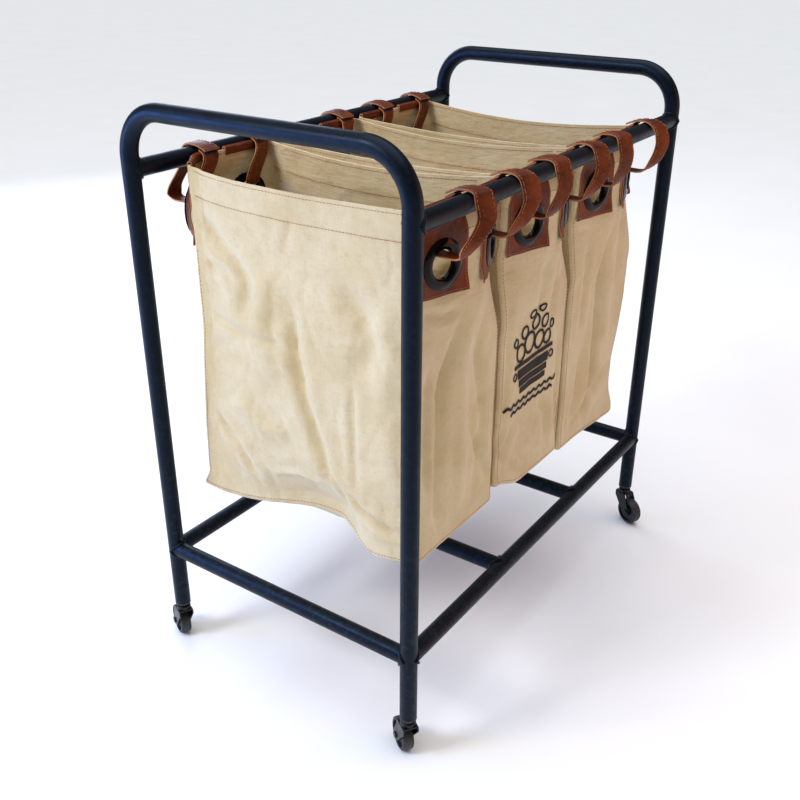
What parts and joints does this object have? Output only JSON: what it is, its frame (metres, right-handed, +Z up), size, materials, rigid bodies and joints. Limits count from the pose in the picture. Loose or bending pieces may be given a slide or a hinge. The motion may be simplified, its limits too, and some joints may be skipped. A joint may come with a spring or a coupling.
{
  "type": "laundry sorter on wheels",
  "caption": "Rolling tube rack with end hoops and swivel casters; open canvas bags hang on its upper rails by leather straps through eyelets.",
  "frame": {"origin": "on the floor, under the middle of the rack", "axes": "+X along the long side, from the left end hoop to the right one; -Y towards the printed faces of the bags; +Z up"},
  "size_m": [0.8074, 0.5432, 0.886],
  "materials": {
    "powder_coat": "satin black powder coat",
    "blackened_steel": "black electrocoated pressed steel",
    "bright_steel": "polished balls",
    "socket_plastic": "moulded black nylon",
    "wheel_nylon": "moulded nylon, scuffed tread",
    "canvas": "washed cotton canvas, creased",
    "leather": "waxed pull-up leather with raw edges",
    "eyelet_plastic": "glossy, very dark brown",
    "hook_tape": "woven black hook-and-loop tape"
  },
  "bodies": {
    "rack": {"end_hoop_left": "powder_coat", "end_hoop_right": "powder_coat", "upper_rail_front": "powder_coat", "upper_rail_rear": "powder_coat", "lower_rail_front": "powder_coat", "lower_rail_rear": "powder_coat", "lower_end_rail_left": "powder_coat", "lower_end_rail_right": "powder_coat", "cross_bar_left": "powder_coat", "cross_bar_right": "powder_coat", "stem_socket_front_left": "socket_plastic", "caster_stem_front_left": "blackened_steel", "swivel_cap_front_left": "blackened_steel", "stem_socket_rear_left": "socket_plastic", "caster_stem_rear_left": "blackened_steel", "swivel_cap_rear_left": "blackened_steel", "stem_socket_front_right": "socket_plastic", "caster_stem_front_right": "blackened_steel", "swivel_cap_front_right": "blackened_steel", "stem_socket_rear_right": "socket_plastic", "caster_stem_rear_right": "blackened_steel", "swivel_cap_rear_right": "blackened_steel"},
    "caster_front_left": {"bearing_balls_front_left": "bright_steel", "fork_front_left": "blackened_steel", "axle_front_left": "blackened_steel"},
    "wheel_front_left": {"wheel_front_left": "wheel_nylon"},
    "caster_rear_left": {"bearing_balls_rear_left": "bright_steel", "fork_rear_left": "blackened_steel", "axle_rear_left": "blackened_steel"},
    "wheel_rear_left": {"wheel_rear_left": "wheel_nylon"},
    "caster_front_right": {"bearing_balls_front_right": "bright_steel", "fork_front_right": "blackened_steel", "axle_front_right": "blackened_steel"},
    "wheel_front_right": {"wheel_front_right": "wheel_nylon"},
    "caster_rear_right": {"bearing_balls_rear_right": "bright_steel", "fork_rear_right": "blackened_steel", "axle_rear_right": "blackened_steel"},
    "wheel_rear_right": {"wheel_rear_right": "wheel_nylon"},
    "hung_bag_left": {"bag_left": "canvas", "leather_patches_left": "leather", "eyelet_faces_left": "eyelet_plastic", "eyelet_backs_left": "eyelet_plastic", "strap_loops_left": "leather", "hook_tapes_left": "hook_tape"},
    "hung_bag_middle": {"bag_middle": "canvas", "leather_patches_middle": "leather", "eyelet_faces_middle": "eyelet_plastic", "eyelet_backs_middle": "eyelet_plastic", "strap_loops_middle": "leather", "hook_tapes_middle": "hook_tape"},
    "hung_bag_right": {"bag_right": "canvas", "leather_patches_right": "leather", "eyelet_faces_right": "eyelet_plastic", "eyelet_backs_right": "eyelet_plastic", "strap_loops_right": "leather", "hook_tapes_right": "hook_tape"}
  },
  "joints": [
    {"name": "swivel_front_left", "type": "hinge", "parent": "rack", "child": "caster_front_left", "pos_m": [-0.387, -0.228, 0.062], "axis": [0, 0, 1], "continuous": true},
    {"name": "roll_front_left", "type": "hinge", "parent": "caster_front_left", "child": "wheel_front_left", "pos_m": [-0.37553, -0.21162, 0.025], "axis": [0.8192, -0.5736, 0], "continuous": true},
    {"name": "swivel_rear_left", "type": "hinge", "parent": "rack", "child": "caster_rear_left", "pos_m": [-0.387, 0.228, 0.062], "axis": [0, 0, 1], "continuous": true},
    {"name": "roll_rear_left", "type": "hinge", "parent": "caster_rear_left", "child": "wheel_rear_left", "pos_m": [-0.37855, 0.24613, 0.025], "axis": [0.9063, -0.4226, 0], "continuous": true},
    {"name": "swivel_front_right", "type": "hinge", "parent": "rack", "child": "caster_front_right", "pos_m": [0.387, -0.228, 0.062], "axis": [0, 0, 1], "continuous": true},
    {"name": "roll_front_right", "type": "hinge", "parent": "caster_front_right", "child": "wheel_front_right", "pos_m": [0.37855, -0.24613, 0.025], "axis": [-0.9063, 0.4226, 0], "continuous": true},
    {"name": "swivel_rear_right", "type": "hinge", "parent": "rack", "child": "caster_rear_right", "pos_m": [0.387, 0.228, 0.062], "axis": [0, 0, 1], "continuous": true},
    {"name": "roll_rear_right", "type": "hinge", "parent": "caster_rear_right", "child": "wheel_rear_right", "pos_m": [0.37553, 0.21162, 0.025], "axis": [-0.8192, 0.5736, 0], "continuous": true},
    {"name": "slide_bag_left", "type": "slide", "parent": "rack", "child": "hung_bag_left", "axis": [1, 0, 0], "range_m": [-0.015, 0.004]},
    {"name": "slide_bag_middle", "type": "slide", "parent": "rack", "child": "hung_bag_middle", "axis": [1, 0, 0], "range_m": [-0.004, 0.004]},
    {"name": "slide_bag_right", "type": "slide", "parent": "rack", "child": "hung_bag_right", "axis": [1, 0, 0], "range_m": [-0.004, 0.065]}
  ]
}
